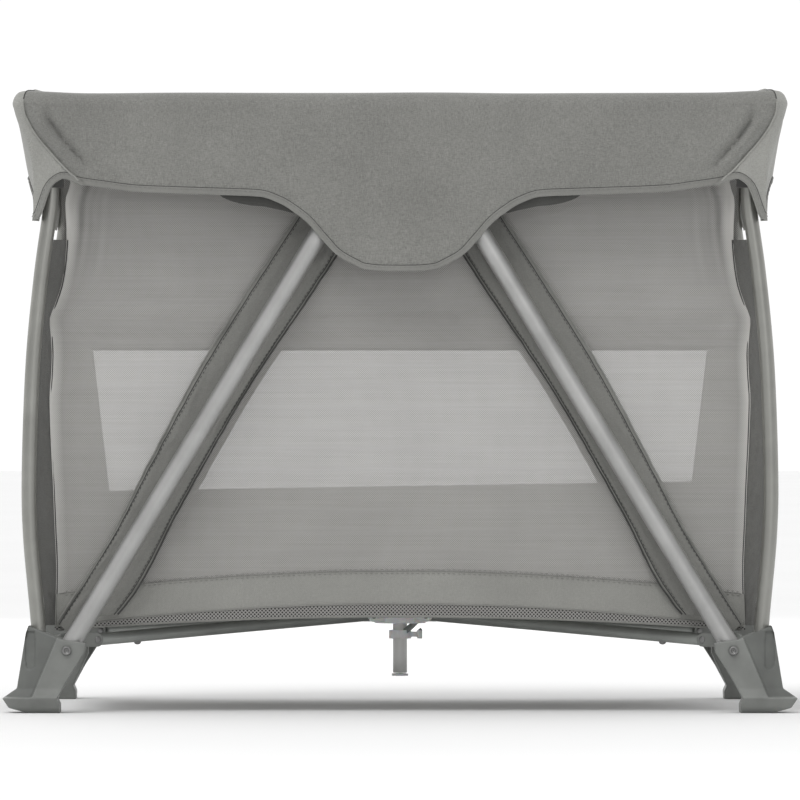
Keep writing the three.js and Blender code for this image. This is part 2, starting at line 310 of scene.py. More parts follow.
def metal(name, level, roughness, brushed, metallic=1.0, tint=(1, 1, 0.985), scratch=0.12):
    """Metal tube or plate: brushed lines along one direction, faint smears and fine scratches."""
    m = Nodes(name)
    brush = m.noise(1.0, 5.0, m.mapped(brushed))
    m.link(m.ramp(m.noise(22.0, 4.0), srgb(level - 8, tint), srgb(level + 6, tint)), "Base Color")
    m.uneven_gloss(brush, roughness, 0.07)
    m.bump(brush, scratch, 0.0002)
    m.fixed(Metallic=metallic)
    return m.material


def milky(name, level):
    """Milky plastic that lets a little light through."""
    m = Nodes(name)
    m.link(m.ramp(m.noise(60.0, 3.0), srgb(level - 10), srgb(level + 6)), "Base Color")
    m.bump(m.noise(1500.0), 0.05, 0.0002)
    m.fixed(Roughness=0.28, Subsurface_Weight=0.3, Subsurface_Scale=0.004)
    return m.material


COVER = woven("cover_cloth", 126, spread=24)
END_COVER = woven("end_cover_cloth", 152, spread=15)
# the lining below the hem, darkened as painted shade
UNDERLAP_PAINTED_SHADE = woven("underlap_cloth_painted_shade", 72, pitch=0.0009, spread=8)
TAPE = woven("binding_tape", 134, pitch=0.0008, spread=7, strength=0.5)
STRIP = woven("sleeve_cloth", 126, pitch=0.0009, spread=8, roughness=0.8, sheen=0.15)
GUSSET = woven("gusset_cloth", 98, pitch=0.0009, spread=8, roughness=0.75, sheen=0.2)
LINING = woven("lining_cloth", 146, pitch=0.0013, spread=9)
MAT_TOP = woven("mattress_cloth", 158, pitch=0.0012, spread=10)
THREAD = woven("sewing_thread", 126, pitch=0.0004, spread=6)
# dark thread for seams and stitches, also used for the painted shadow line along the hem tape
DARK_THREAD_AND_SHADOW = woven("dark_thread_and_painted_shadow", 66, pitch=0.0004, spread=4)
MAT_SIDE = netting("mattress_mesh", 140, cell=0.003, alpha=1.0)
MESH = netting("wall_mesh", 192, cell=0.0024, contrast=0.2, edge=True)
INNER_MESH = netting("bassinet_mesh", 160, alpha=0.75)
SPACER = netting("spacer_mesh", 148, cell=0.0042, alpha=1.0, contrast=0.72)
ZIP = moulded("zip_teeth", 70, roughness=0.4)
# a darker copy of the foot nylon for the set-back outer faces: painted shade
FOOT_PAINTED_SHADE = moulded("foot_nylon_recess_painted_shade", 101, tint=(0.955, 1.0, 0.94))
FOOT = moulded("foot_nylon", 121, tint=(0.965, 1.0, 0.945), roughness=0.48)
DARK = moulded("dark_nylon", 62)
MILKY = milky("milky_nylon", 252)
ALUMINIUM = metal("satin_aluminium", 178, 0.5, (900, 900, 8))
POST = metal("grey_powder_coat", 152, 0.36, (700, 700, 700), metallic=0.75, tint=WARM, scratch=0.2)
BASE_METAL = metal("grey_base_tube", 150, 0.45, (700, 700, 700), metallic=0.35, tint=(0.96, 1.0, 0.95))
LEG = metal("grey_leg_tube", 238, 0.45, (900, 900, 8), metallic=0.6)
ZINC = metal("zinc_plate", 165, 0.38, (300, 300, 300))
RIVET_METAL = metal("rivet_steel", 128, 0.4, (500, 500, 500), metallic=0.7)


# ---- mesh helpers ------------------------------------------------------------------------------
def attach(pieces, body):
    """Pieces that ride on one body."""
    for piece in pieces:
        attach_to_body(piece, body)


def make(name, points, faces, material, sharp_above=None):
    mesh = bpy.data.meshes.new(name)
    mesh.from_pydata([tuple(p) for p in points], [], faces)
    mesh.materials.append(material)
    piece = bpy.data.objects.new(name, mesh)
    bpy.context.scene.collection.objects.link(piece)
    mesh.shade_smooth()
    mesh.update()
    if sharp_above:
        mesh.set_sharp_from_angle(angle=math.radians(sharp_above))
    return piece


def loft_faces(rings, sides, first=0):
    """Faces that join rings of points in turn and close both ends."""
    faces = []
    for i in range(rings - 1):
        for k in range(sides):
            n = (k + 1) % sides
            a, b = first + i * sides, first + (i + 1) * sides
            faces.append((a + k, a + n, b + n, b + k))
    faces.append([first + k for k in range(sides)][::-1])
    faces.append([first + (rings - 1) * sides + k for k in range(sides)])
    return faces


def apply_modifiers(piece):
    bpy.context.view_layer.update()
    graph = bpy.context.evaluated_depsgraph_get()
    mesh = bpy.data.meshes.new_from_object(piece.evaluated_get(graph))
    old = piece.data
    piece.modifiers.clear()
    piece.data = mesh
    bpy.data.meshes.remove(old)


def remesh(piece, voxel):
    fine = piece.modifiers.new("voxel", "REMESH")
    fine.mode = "VOXEL"
    fine.voxel_size = voxel


def sheet(name, surface, us, vs, material, thickness=0.0, outward=True, second=None):
    """A grid of cloth through surface(u, v), with an optional thickness behind it. The faces for which
    second's test of (u, v) holds take its material instead."""
    points = [surface(u, v) for u in us for v in vs]
    rows = len(vs)
    faces = []
    for i in range(len(us) - 1):
        for j in range(rows - 1):
            a, b = i * rows + j, i * rows + j + 1
            c, d = b + rows, a + rows
            faces.append((a, b, c, d) if outward else (a, d, c, b))
    piece = make(name, points, faces, material)
    if second:
        piece.data.materials.append(second[0])
        for k, face in enumerate(piece.data.polygons):
            i, j = divmod(k, rows - 1)
            face.material_index = 1 if second[1]((us[i] + us[i + 1]) / 2, (vs[j] + vs[j + 1]) / 2) else 0
    if thickness:
        solid = piece.modifiers.new("thickness", "SOLIDIFY")
        solid.thickness = thickness
        solid.offset = -1
        apply_modifiers(piece)
        piece.data.shade_smooth()
        piece.data.set_sharp_from_angle(angle=math.radians(50))
    return piece


def shade_by(piece, us, vs, share):
    """Stores share(u, v), two numbers, at each point of a sheet for its material to read."""
    layer = piece.data.color_attributes.new("reach", "FLOAT_COLOR", "POINT")
    places = [(u, v) for u in us for v in vs]
    for mark, (u, v) in zip(layer.data, places):
        mark.color = (*share(u, v), 0.0, 1.0)


def frames_along(path):
    """Points, and two directions across the path at each of them."""
    points = [Vector(p) for p in path]
    across = None
    out = []
    for i, p in enumerate(points):
        ahead = (points[min(i + 1, len(points) - 1)] - points[max(i - 1, 0)]).normalized()
        if across is None:
            across = ahead.orthogonal().normalized()
        across = (across - ahead * across.dot(ahead)).normalized()
        out.append((p, across, ahead.cross(across)))
    return out


def ring(centre, a, b, radius, sides, squeeze=1.0):
    """Points round a centre in the plane of a and b."""
    turns = [2 * math.pi * k / sides for k in range(sides)]
    return [centre + a * (radius * math.cos(t)) + b * (radius * squeeze * math.sin(t)) for t in turns]


def tube(name, path, radius, material, sides=28, squeeze=1.0):
    """A rounded bar along a path. The radius is one number, or one for each point."""
    frames = frames_along(path)
    sizes = radius if isinstance(radius, list) else [radius] * len(frames)
    points = [p for (c, a, b), r in zip(frames, sizes) for p in ring(c, a, b, r, sides, squeeze)]
    return make(name, points, loft_faces(len(frames), sides), material, sharp_above=40)


def turned(name, centre, axis, profile, material, sides, sharp_above=None):
    """A turned piece: rings of (radius, height) about an axis."""
    axis = Vector(axis).normalized()
    a = axis.orthogonal().normalized()
    b = axis.cross(a)
    points = [p for r, h in profile for p in ring(centre + axis * h, a, b, r, sides)]
    return make(name, points, loft_faces(len(profile), sides), material, sharp_above)


def domed(name, centre, axis, radius, height, material, base, sides):
    """A rivet or bolt head: a low dome on a short straight edge."""
    dome = np.linspace(0.15, math.pi / 2 * 0.94, 7)
    profile = [(radius, -base), (radius, 0.0)] + [(radius * math.cos(t), height * math.sin(t)) for t in dome]
    return turned(name, centre, axis, profile, material, sides, sharp_above=45)


def refined(node, name, material, voxel, rounding, shape=None):
    """A fine copy of a CAD node, with its edges rounded as a mould leaves them."""
    piece = NODES[node].copy()
    piece.data = NODES[node].data.copy()
    piece.name = name
    for key in list(piece.keys()):
        if key.startswith("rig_"):
            del piece[key]
    piece.parent = None
    bpy.context.scene.collection.objects.link(piece)

    def soften(passes):
        soft = piece.modifiers.new("round", "SMOOTH")
        soft.factor = 0.5
        soft.iterations = passes
        apply_modifiers(piece)

    remesh(piece, voxel)
    soften(rounding)
    if shape:
        for vertex in piece.data.vertices:
            shape(vertex.co)
        soften(2)
    piece.data.materials.clear()
    piece.data.materials.append(material)
    piece.data.shade_smooth()
    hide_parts(node)
    return piece


def stitches(name, runs, radius, material=THREAD, length=0.0034, gap=0.0016):
    """Raised stitches along each run, a list of (point, outward direction)."""
    sides = 6
    points, faces = [], []
    for run in runs:
        travelled = 0.0
        for (p, up), (q, _) in zip(run, run[1:]):
            travelled += (q - p).length
            if travelled < length + gap:
                continue
            travelled = 0.0
            ahead = (q - p).normalized()
            side = ahead.cross(up).normalized()
            faces += loft_faces(4, sides, first=len(points))
            for along, size in ((0.0, 0.35), (0.25, 1.0), (0.75, 1.0), (1.0, 0.35)):
                centre = p + ahead * (along * length) + up * radius * (0.9 * size)
                points += ring(centre, side, up, radius * size, sides)
    return make(name, points, faces, material)


# ---- how the soft parts fold -------------------------------------------------------------------
# While the frame folds, each corner moves in by these amounts; KEEP_X and KEEP_Y are the shares that are left.
FOLD_X, FOLD_Y = 0.252, 0.184
KEEP_X = (WALL_X - FOLD_X) / WALL_X
KEEP_Y = (WALL_Y - FOLD_Y) / WALL_Y


def gather(pieces, wall, sign):
    """Pieces that span a whole wall ride on the corner that they hang from: the left corner for the front and
    back walls, the front corner for the left and right walls."""
    if wall in ("front", "back"):
        body, axis, anchor, keep = f"corner_{wall}_left", (1, 0, 0), (-WALL_X, sign * WALL_Y, 0.4), KEEP_X
    else:
        body, axis, anchor, keep = f"corner_front_{wall}", (0, 1, 0), (sign * WALL_X, -WALL_Y, 0.4), KEEP_Y
    attach(pieces, body)
    for piece in pieces:
        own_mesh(piece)
        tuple(axis)
        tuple(anchor)


# ---- rail covers -------------------------------------------------------------------------------
# Lower edge of the long cover against distance from the middle: a flap, an S curve, then a level hem.
HEM = [(0.0, 0.5026), (0.02, 0.5028), (0.041, 0.505), (0.0535, 0.5105), (0.0716, 0.5208), (0.0886, 0.538),
       (0.1057, 0.5577), (0.1193, 0.5685), (0.136, 0.579), (0.16, 0.587), (0.193, 0.5885), (0.23, 0.5897),
       (0.30, 0.5925), (0.335, 0.597), (0.365, 0.6015), (0.383, 0.6075), (0.392, 0.6035), (0.398, 0.597),
       (0.405, 0.579), (0.4115, 0.563), (0.425, 0.560)]
END_HEM = [(0.0, 0.597), (0.16, 0.597), (0.215, 0.605), (0.243, 0.604), (0.262, 0.582), (0.28, 0.562),
           (0.30, 0.560)]
# The end cover laps over the long cover along a slanting seam: distance along the outline against height.
SEAM = [(0.598, 0.356), (0.614, 0.375), (0.638, 0.398), (0.6595, 0.416), (0.682, 0.4285), (0.700, 0.4285)]
MITRE = 0.4285  # where the long cover and the end cover meet on the top of the rail
CLOTH = 0.0022  # thickness of the padded cover
LINING_Z = 0.640  # the cover's inner edge
FALL = [0.0, 0.06, 0.2, 0.4, 0.6, 0.8, 0.93, 1.0]  # shares of the drop from the rail to the hem
FALL_START = 0.0142  # how far below the top the outside of the cover begins
TOP_STEPS = 6  # steps of the cover's profile before its outside begins
COVER_STEPS = TOP_STEPS + len(FALL) - 1
COVER_V = [i / COVER_STEPS for i in (0, 0.6, 1.2, 1.6, 2, 2.5, 3, 3.5, 4, 4.4, 4.8, 5.2, 5.6, 6, 6.5, 7, 7.5, 8,
                                     8.33, 8.66, 9, 9.33, 9.66, 10, 10.33, 10.66, 11, 11.33, 11.66, 12, 12.25,
                                     12.5, 12.75, 13)]

# A quarter of the cover's outline runs from the middle of the long side round the corner to the middle
# of the end side.
CORNER_R = 0.024
ARC_START = COVER_X - CORNER_R
ARC_END = ARC_START + CORNER_R * math.pi / 2
QUARTER = ARC_END + COVER_Y - CORNER_R
HUB_SEAM = 0.118
END_PIVOT_S = QUARTER - CORNER_PIVOT_Y


def outline_point(s):
    """A point of the quarter outline at distance s along it, and the outward normal there."""
    if s <= ARC_START:
        return Vector((s, COVER_Y, 0)), Vector((0, 1, 0))
    if s <= ARC_END:
        t = (s - ARC_START) / CORNER_R
        n = Vector((math.sin(t), math.cos(t), 0))
        return Vector((ARC_START, COVER_Y - CORNER_R, 0)) + n * CORNER_R, n
    return Vector((COVER_X, QUARTER - s, 0)), Vector((1, 0, 0))


def hem_height(place):
    """Height of the cover's lower edge at a place on its outline."""
    if COVER_Y - abs(place.y) < COVER_X - abs(place.x):
        return through(HEM, abs(place.x))
    return through(END_HEM, abs(place.y))


def cover_section(s, v):
    """Cover surface: v runs from the inner edge over the rail and down the outside to the hem. Gives the
    outline's point and normal, the inset from it, the height, and the nearness to the corner, 0 to 1."""
    base, out = outline_point(s)
    hem = hem_height(base)
    corner = ease(1 - abs(s - (ARC_START + ARC_END) / 2) / 0.085)
    turn = clamp((s - ARC_START) / (ARC_END - ARC_START))
    width = 0.058 - 0.021 * turn
    turn = ease(turn)
    lean = (0.24 - 0.10 * turn) * corner + 0.02 + 0.18 * turn  # the outside slopes in towards its hem
    top = COVER_TOP - 0.0012
    # the profile as (distance in from the outline, height)
    profile = [(width, LINING_Z), (width, top - 0.014), (width - 0.006, top - 0.003), (width * 0.62, top),
               (0.0135, top - 0.0006), (0.0045, top - 0.0045), (0.0008, top - 0.013)]
    start = COVER_TOP - FALL_START
    for share in FALL[1:]:
        drop = (start - hem) * share
        lip = -0.004 * corner * max(0.0, share - 0.85) / 0.15
        profile.append((0.0008 + lean * min(drop, 0.105) * 0.9 + lip, start - drop))
    place = v * COVER_STEPS
    i = min(int(place), COVER_STEPS - 1)
    near = [profile[max(i - 1, 0)], profile[i], profile[i + 1], profile[min(i + 2, COVER_STEPS)]]
    inset, z = [catmull(*values, place - i) for values in zip(*near)]
    return base, out, inset, z, corner


def seam_distance(s, z):
    """Distance from the slanting corner seam, positive on the long cover's side."""
    return (through(SEAM, z) - s) * 0.72


def seam_relief(s, z):
    """The lap, crease and soft ridges beside the corner seam."""
    d = seam_distance(s, z)
    if d > 0.05:
        return 0.0
    lap = 0.0014 * clamp(-d / 0.001)
    crease = -0.0016 * hump(d - 0.0016, 0.0014)
    ridges = 0.0055 * hump(d - 0.0105, 0.0048) + 0.0022 * hump(d - 0.0275, 0.005)
    valley = 0.0062 * hump(d - 0.0195, 0.0026)
    return lap + crease + (ridges - valley) * clamp((z - 0.612) / 0.02) * clamp((0.700 - z) / 0.03)


def cover_point(s, v, sx=1, sy=1):
    """A point of the cover with its slow puckers, soft upright folds near the corners, and seam relief."""
    base, out, inset, z, corner = cover_section(s, v)
    p = mirrored(base - out * inset + Vector((0, 0, z)), sx, sy)
    n = mirrored(out, sx, sy)
    outside = clamp((v - 0.42) / 0.2)
    near_hem = max(0.0, 1 - (z - hem_height(base)) / 0.04)
    puckers = (wobble(p, 7.0, 0.0016, 3.1) + wobble(p, 21.0, 0.0008, 8.7)
               + noise.noise(Vector((s * 75, z * 28, sx + 2 * sy))) * 0.0013 * near_hem)
    folds = noise.noise(Vector(((p.x + p.y) * 62, p.z * 9, 4.0 + sx))) * 0.0032 * corner
    p = p + n * 0.0026 * corner * hump(p.z - 0.688, 0.02)
    p = p - n * max(0.0, 0.0016 - (puckers + folds) * outside) + n * seam_relief(s, z) * outside
    p.z += 0.0036 * corner * max(0.0, 1 - abs(v - 0.36) / 0.22)
    p.z += wobble(p, 9.0, 0.0011, 5.5) * (1 - outside) * (1 if v > 0.2 else 0)
    return p


def cover_at(s, z, sx, sy, lift):
    """The outside of the cover at a height, for tapes and stitches that lie on it."""
    s = max(0.0, s)
    base, out = outline_point(s)
    start = COVER_TOP - FALL_START
    share = clamp((start - z) / (start - hem_height(base)))
    k = max(i for i in range(len(FALL) - 1) if FALL[i] <= share)
    v = (TOP_STEPS + k + (share - FALL[k]) / (FALL[k + 1] - FALL[k])) / COVER_STEPS
    return cover_point(s, v, sx, sy) + mirrored(out, sx, sy) * lift


def on_end_cover(s, v):
    """True where the cloth belongs to the end cover."""
    if v < 0.46:
        return s > MITRE
    return seam_distance(s, cover_section(s, v)[3]) < 0


def cover_piece(name, s0, s1, sx, sy):
    """One sewn length of cover between two places on a quarter of the outline."""
    corner = s0 < ARC_START < s1
    us = span(s0, s1, 0.0014 if corner else 0.0045)
    vs = COVER_V
    if corner:
        vs = [p for a, b in zip(vs, vs[1:]) for p in (a, a * 2 / 3 + b / 3, a / 3 + b * 2 / 3)] + [1.0]
    return sheet(name, lambda u, v: cover_point(u, v, sx, sy), us, vs, COVER, thickness=CLOTH,
                 outward=sx * sy < 0, second=(END_COVER, on_end_cover))


def bound_hem(name, s0, s1, sx, sy):
    """Binding tape folded over the hem, with a row of stitches and a thin dark tube along its upper edge as a
    painted shadow.
    """
    width, reach = 0.0092, 0.002

    def tape(u, v):
        hem, ahead, behind = [hem_height(outline_point(s)[0]) for s in (u, u + reach, max(0.0, u - reach))]
        slope = (ahead - behind) / (2 * reach)
        size = math.sqrt(1 + slope * slope)
        round_edge = 1 - (2 * v - 1) ** 6
        rise = -0.0012 + width * v
        return cover_at(u - rise * slope / size * 0.9, hem + rise / size, sx, sy, 0.0003 + 0.0011 * round_edge)

    us = span(s0, s1, 0.003)
    piece = sheet(name, tape, us, [0, 0.04, 0.12, 0.3, 0.5, 0.7, 0.88, 0.96, 1], TAPE, outward=sx * sy > 0)
    run = [(tape(u, 0.8), mirrored(outline_point(u)[1], sx, sy)) for u in span(s0, s1, 0.0008)]
    sewing = stitches(f"{name}_stitches", [run], 0.00034)
    # painted shadow: a thin dark tube along the tape's upper edge
    line = tube(f"{name}_edge", [tape(u, 1.0) for u in us], 0.0005, DARK_THREAD_AND_SHADOW, sides=6)
    return [piece, sewing, line]


def corner_seams(tag, sx, sy):
    """The piping along the slanting seam and the stitched mitre over the rail."""
    piping = [cover_at(through(SEAM, z), z, sx, sy, 0.0011) for z in span(0.606, 0.698, 0.002)]
    mitre = [cover_point(MITRE, v, sx, sy) + Vector((0, 0, 0.0004)) for v in span(0.44, 0.17, 0.02)]
    return [tube(f"corner_piping_{tag}", piping, 0.0011, END_COVER, sides=8),
            tube(f"mitre_seam_{tag}", mitre, 0.0007, DARK_THREAD_AND_SHADOW, sides=8)]


def lining_edge(tag, sx, sy):
    """The lining that shows below the hem beside the flap; its dark colour is partly painted shade."""
    def underlap(u, v):
        s = HUB_SEAM + 0.002 + 0.085 * u
        top = hem_height(Vector((s, COVER_Y, 0))) + 0.004
        z = top - v * (0.004 + 0.0105 * math.sin(math.pi * u) ** 0.7)
        return mirrored((s, COVER_Y - 0.0075 - 0.001 * v, z), sx, sy)

    return sheet(f"lining_edge_{tag}", underlap, span(0, 1, 0.04), span(0, 1, 0.2), UNDERLAP_PAINTED_SHADE,
                 outward=sx * sy < 0)


def rail_covers():
    """The padded covers over the top rails, cut where the rails fold, and the flap over each top hub."""
    for tag, sx, sy in CORNERS:
        depth, side = tag.split("_")
        lengths = [("inner_cover", HUB_SEAM, KNUCKLE_X, f"inner_rail_{tag}"),
                   ("outer_cover", KNUCKLE_X, CORNER_PIVOT_X, f"outer_rail_{tag}"),
                   ("corner_cover", CORNER_PIVOT_X, END_PIVOT_S, f"corner_{tag}"),
                   ("end_cover", END_PIVOT_S, QUARTER, f"end_rail_{tag}")]
        for name, s0, s1, body in lengths:
            piece = cover_piece(f"{name}_{tag}", s0, s1, sx, sy)
            trims = bound_hem(f"{name}_tape_{tag}", s0, s1, sx, sy)
            if name == "corner_cover":
                trims += corner_seams(tag, sx, sy)
            if name == "inner_cover":
                trims.append(lining_edge(tag, sx, sy))
            attach([piece] + trims, body)
            if name != "corner_cover":
                for part in [piece] + trims:
                    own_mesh(part)
            if name == "outer_cover":
                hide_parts(f"long_cover_{depth}")
            if name == "end_cover":
                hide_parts(f"end_cover_{side}")
    for depth, sy in LONG_SIDES:
        piece = sheet(f"hub_flap_{depth}", lambda u, v: cover_point(abs(u), v, 1 if u >= 0 else -1, sy),
                      span(-HUB_SEAM, HUB_SEAM, 0.0045), COVER_V, COVER, thickness=CLOTH, outward=sy < 0)
        trims = [part for side, sx in END_SIDES
                 for part in bound_hem(f"hub_flap_tape_{depth}_{side}", 0.0, HUB_SEAM, sx, sy)]
        attach([piece] + trims, f"top_hub_{depth}")


# ---- mesh walls --------------------------------------------------------------------------------
# Half width of the walls against height: pushed out by the bassinet frame, drawn in at the top.
WALL_EDGE = [(0.097, 0.3945), (0.162, 0.393), (0.214, 0.395), (0.266, 0.397), (0.306, 0.399), (0.358, 0.4005),
             (0.381, 0.399), (0.407, 0.398), (0.4288, 0.399), (0.447, 0.4005), (0.465, 0.3945), (0.491, 0.3865),
             (0.520, 0.3825), (0.546, 0.381), (0.583, 0.3825), (0.603, 0.377), (0.70, 0.372)]
WALL_TOP = 0.688


def arched(middle, drop):
    """A height that falls from the middle of a long wall towards its ends."""
    return lambda u: middle - drop * (u * WALL_X) ** 2


# Heights of the seams against u, which runs along a wall from -1 to 1.
LONG_LOW, LONG_SEAM = arched(0.1087, 0.098), arched(0.1607, 0.167)
SPACER_ARCH = arched(0.123, 0.168)


def long_spacer(u):
    return max(SPACER_ARCH(u), LONG_LOW(u) + 0.0035)


def long_wall_point(u, z, sy, lift=0.0):
    """The long wall at u from -1 (left) to 1 (right) and height z."""
    x = u * through(WALL_EDGE, z)
    pleat = clamp((z - 0.50) / 0.09) * max(0.0, abs(u) - 0.80) / 0.2
    y = WALL_Y - 0.001 - 0.003 * abs(u) ** 6
    y -= wobble((x, 0, z), 5.0, 0.0022, 2.0 + sy)
    y += noise.noise(Vector((x * 95, z * 7, 1.5))) * 0.004 * pleat + 0.0025 * hump(z - 0.447, 0.02)
    return Vector((x, sy * (min(y, WALL_Y + 0.002) + lift), z))


def end_wall_point(u, z, sx, lift=0.0):
    """The end wall at u from -1 (front) to 1 (back) and height z."""
    y = u * (WALL_Y - 0.004)
    x = min(through(WALL_EDGE, z) - 0.001, WALL_X) if z < 0.56 else 0.388
    x -= wobble((0, y, z), 6.0, 0.002, 6.0 + sx) + 0.001
    return Vector((sx * (x + lift), y, z))


def wall_marks(u, v, seed):
    """How strong the painted highlight is near the wall's side edges, where the cloth is also taken as folded
    double, and the painted light and shade streaks of its top pleats.
    """
    upper = clamp((v - 0.62) / 0.15)
    edge = clamp((abs(u) - 0.966 + 0.008 * upper) / 0.035)
    fade = 0.45 + 0.55 * max(upper, 1 - abs(v - 0.42) / 0.3)
    pleat = min(1.0, 1.6 * upper * max(0.0, (abs(u) - 0.86) / 0.14))
    streak = 0.5 + noise.noise(Vector((abs(u) * 46 + v * 6, v * 2.4, seed))) * 0.9 * pleat
    return edge * fade, clamp(streak)


LONG_WALL = {
    "names": ("mesh_wall_cloth", "wall_band", "spacer_hem", "wall_seam_stitches"),
    "point": long_wall_point, "low": LONG_LOW, "spacer_top": long_spacer, "seam": LONG_SEAM,
    "steps": (0.007, 0.2, 0.1), "spacer_lift": 0.0012, "seed": 1,
    "rises": (0.002, -0.0025), "stitch_step": 0.0025, "thread": 0.0003,
    "piping": [("seam_piping", LONG_SEAM, 0.0005, 0.0008, 0.02),
               ("wall_piping", long_spacer, 0.0008, 0.0014, 0.02),
               ("hem_piping", LONG_LOW, 0.0012, 0.0012, 0.02)]}
END_LOW, END_SPACER, END_SEAM = arched(0.0985, 0), arched(0.112, 0), arched(0.148, 0)
END_WALL = {
    "names": ("end_wall_cloth", "end_band", "end_spacer_hem", "end_seam_stitches"),
    "point": end_wall_point, "low": END_LOW, "spacer_top": END_SPACER, "seam": END_SEAM,
    "steps": (0.015, 0.25, 0.12), "spacer_lift": 0.001, "seed": 5,
    "rises": (0.002, -0.003), "stitch_step": 0.004, "thread": 0.0004,
    "piping": [("end_piping", END_SPACER, 0.0011, 0.0012, 0.04)]}


def hang_wall(side, sign, out, flip, plan):
    """One mesh wall, with its cloth band, spacer mesh hem, double row of stitches and piping."""
    point, low, spacer_top, seam = plan["point"], plan["low"], plan["spacer_top"], plan["seam"]

    def between(bottom, top, raised=0.0):
        return lambda u, v: point(u, bottom(u) + (top(u) - bottom(u)) * v, sign, raised)

    cloth, band, spacer, sewing = [f"{name}_{side}" for name in plan["names"]]
    along, band_step, spacer_step = plan["steps"]
    us, vs = span(-1, 1, along), span(0, 1, 0.014)
    upper = sheet(cloth, between(seam, lambda u: WALL_TOP), us, vs, MESH, outward=flip)
    shade_by(upper, us, vs, lambda u, v: wall_marks(u, v, plan["seed"] + sign))
    rows = [[(point(u, seam(u) + rise, sign, 0.001), out) for u in span(-0.985, 0.985, plan["stitch_step"])]
            for rise in plan["rises"]]
    trims = [sheet(band, between(spacer_top, seam, 0.0006), us, span(0, 1, band_step), LINING, outward=flip),
             sheet(spacer, between(low, spacer_top, plan["spacer_lift"]), us, span(0, 1, spacer_step), SPACER,
                   outward=flip),
             stitches(sewing, rows, plan["thread"])]
    for name, height, radius, raised, step in plan["piping"]:
        path = [point(u, height(u), sign, raised) for u in span(-0.99, 0.99, step)]
        trims.append(tube(f"{name}_{side}", path, radius, TAPE, sides=8))
    gather([upper] + trims, side, sign)
    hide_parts(f"mesh_wall_{side}")


def mesh_walls():
    """The four mesh walls."""
    for side, sy in LONG_SIDES:
        hang_wall(side, sy, Vector((0, sy, 0)), sy > 0, LONG_WALL)
    for side, sx in END_SIDES:
        hang_wall(side, sx, Vector((sx, 0, 0)), sx < 0, END_WALL)


# Centre line of each bowed post: height against distance from the middle.
BOW = [(0.055, 0.4123), (0.100, 0.4126), (0.200, 0.4215), (0.277, 0.423), (0.400, 0.4185), (0.500, 0.409),
       (0.583, 0.398), (0.638, 0.3975)]
POST_Y = 0.2815


def corner_gussets():
    """Crinkled dark strips that tie each wall corner to its post."""
    for tag, sx, sy in CORNERS:
        def strip(u, v):
            z = 0.099 + 0.440 * u
            inner = through(WALL_EDGE, z) - 0.0015
            outer = through(BOW, z) - 0.0078
            x = inner + (outer - inner) * v
            y = WALL_Y - 0.006 + (POST_Y - 0.0025 - WALL_Y + 0.006) * v ** 1.3
            crinkle = (noise.noise(Vector((z * 46, v * 3, sx * 5.0 + sy))) * 0.0030
                       + noise.noise(Vector((z * 150, v * 4, sx * 9.0 + sy))) * 0.0014)
            return mirrored((x, y + crinkle * math.sin(math.pi * min(1, v + 0.03)), z), sx, sy)

        piece = sheet(f"corner_gusset_{tag}", strip, span(0, 1, 0.005), span(0, 1, 0.1), GUSSET,
                      outward=sx * sy < 0)
        seam = [strip(u, 0.0) + Vector((0, sy * 0.002, 0)) for u in span(0, 1, 0.02)]
        edge = tube(f"gusset_edge_{tag}", seam, 0.0007, DARK_THREAD_AND_SHADOW, sides=8)
        attach([piece, edge], f"corner_{tag}")


# ---- legs, posts, feet -------------------------------------------------------------------------
LEG_WAY = (DIAG_TOP - RIVET).normalized()
LEG_PLUG = [(0.0, 0.0085), (0.0012, 0.0105), (0.0035, 0.011)]  # (distance in from the end, radius)
BASE_PLUG = [(0.0, 0.0056), (0.001, 0.0067), (0.003, 0.007)]


def plugged_bar(name, a, b, reach, plug, steps, material, sides):
    """A round bar that reaches past the pins at a and b, with rounded plugs in its ends."""
    way, length = (b - a).normalized(), (b - a).length
    stations = [(d - reach, r) for d, r in plug]
    stations += [(length * k / steps, plug[-1][1]) for k in range(1, steps)]
    stations += [(length + reach - d, r) for d, r in reversed(plug)]
    return tube(name, [a + way * d for d, _ in stations], [r for _, r in stations], material, sides)


def diagonals():
    """Bright aluminium legs, with the ends closed by domed plugs."""
    for tag, sx, sy in CORNERS:
        piece = plugged_bar(f"diagonal_leg_{tag}", mirrored(RIVET, sx, sy), mirrored(DIAG_TOP, sx, sy), 0.010,
                            LEG_PLUG, 24, ALUMINIUM, 40)
        attach([piece], f"diagonal_{tag}")
        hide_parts(f"diagonal_{tag}")
        sleeve_strips(tag, sx, sy)


# Reach of the cloth strips from the middle of the leg, against distance along the leg from its rivet.
STRIP_OUTER = [(0.0, 0.027), (0.13, 0.0245), (0.225, 0.031), (0.377, 0.038), (0.556, 0.033), (0.61, 0.031)]
STRIP_INNER = [(0.03, 0.017), (0.062, 0.0275), (0.107, 0.032), (0.20, 0.0255), (0.349, 0.0215),
               (0.546, 0.0295), (0.61, 0.030)]
STRIP_END = 0.605


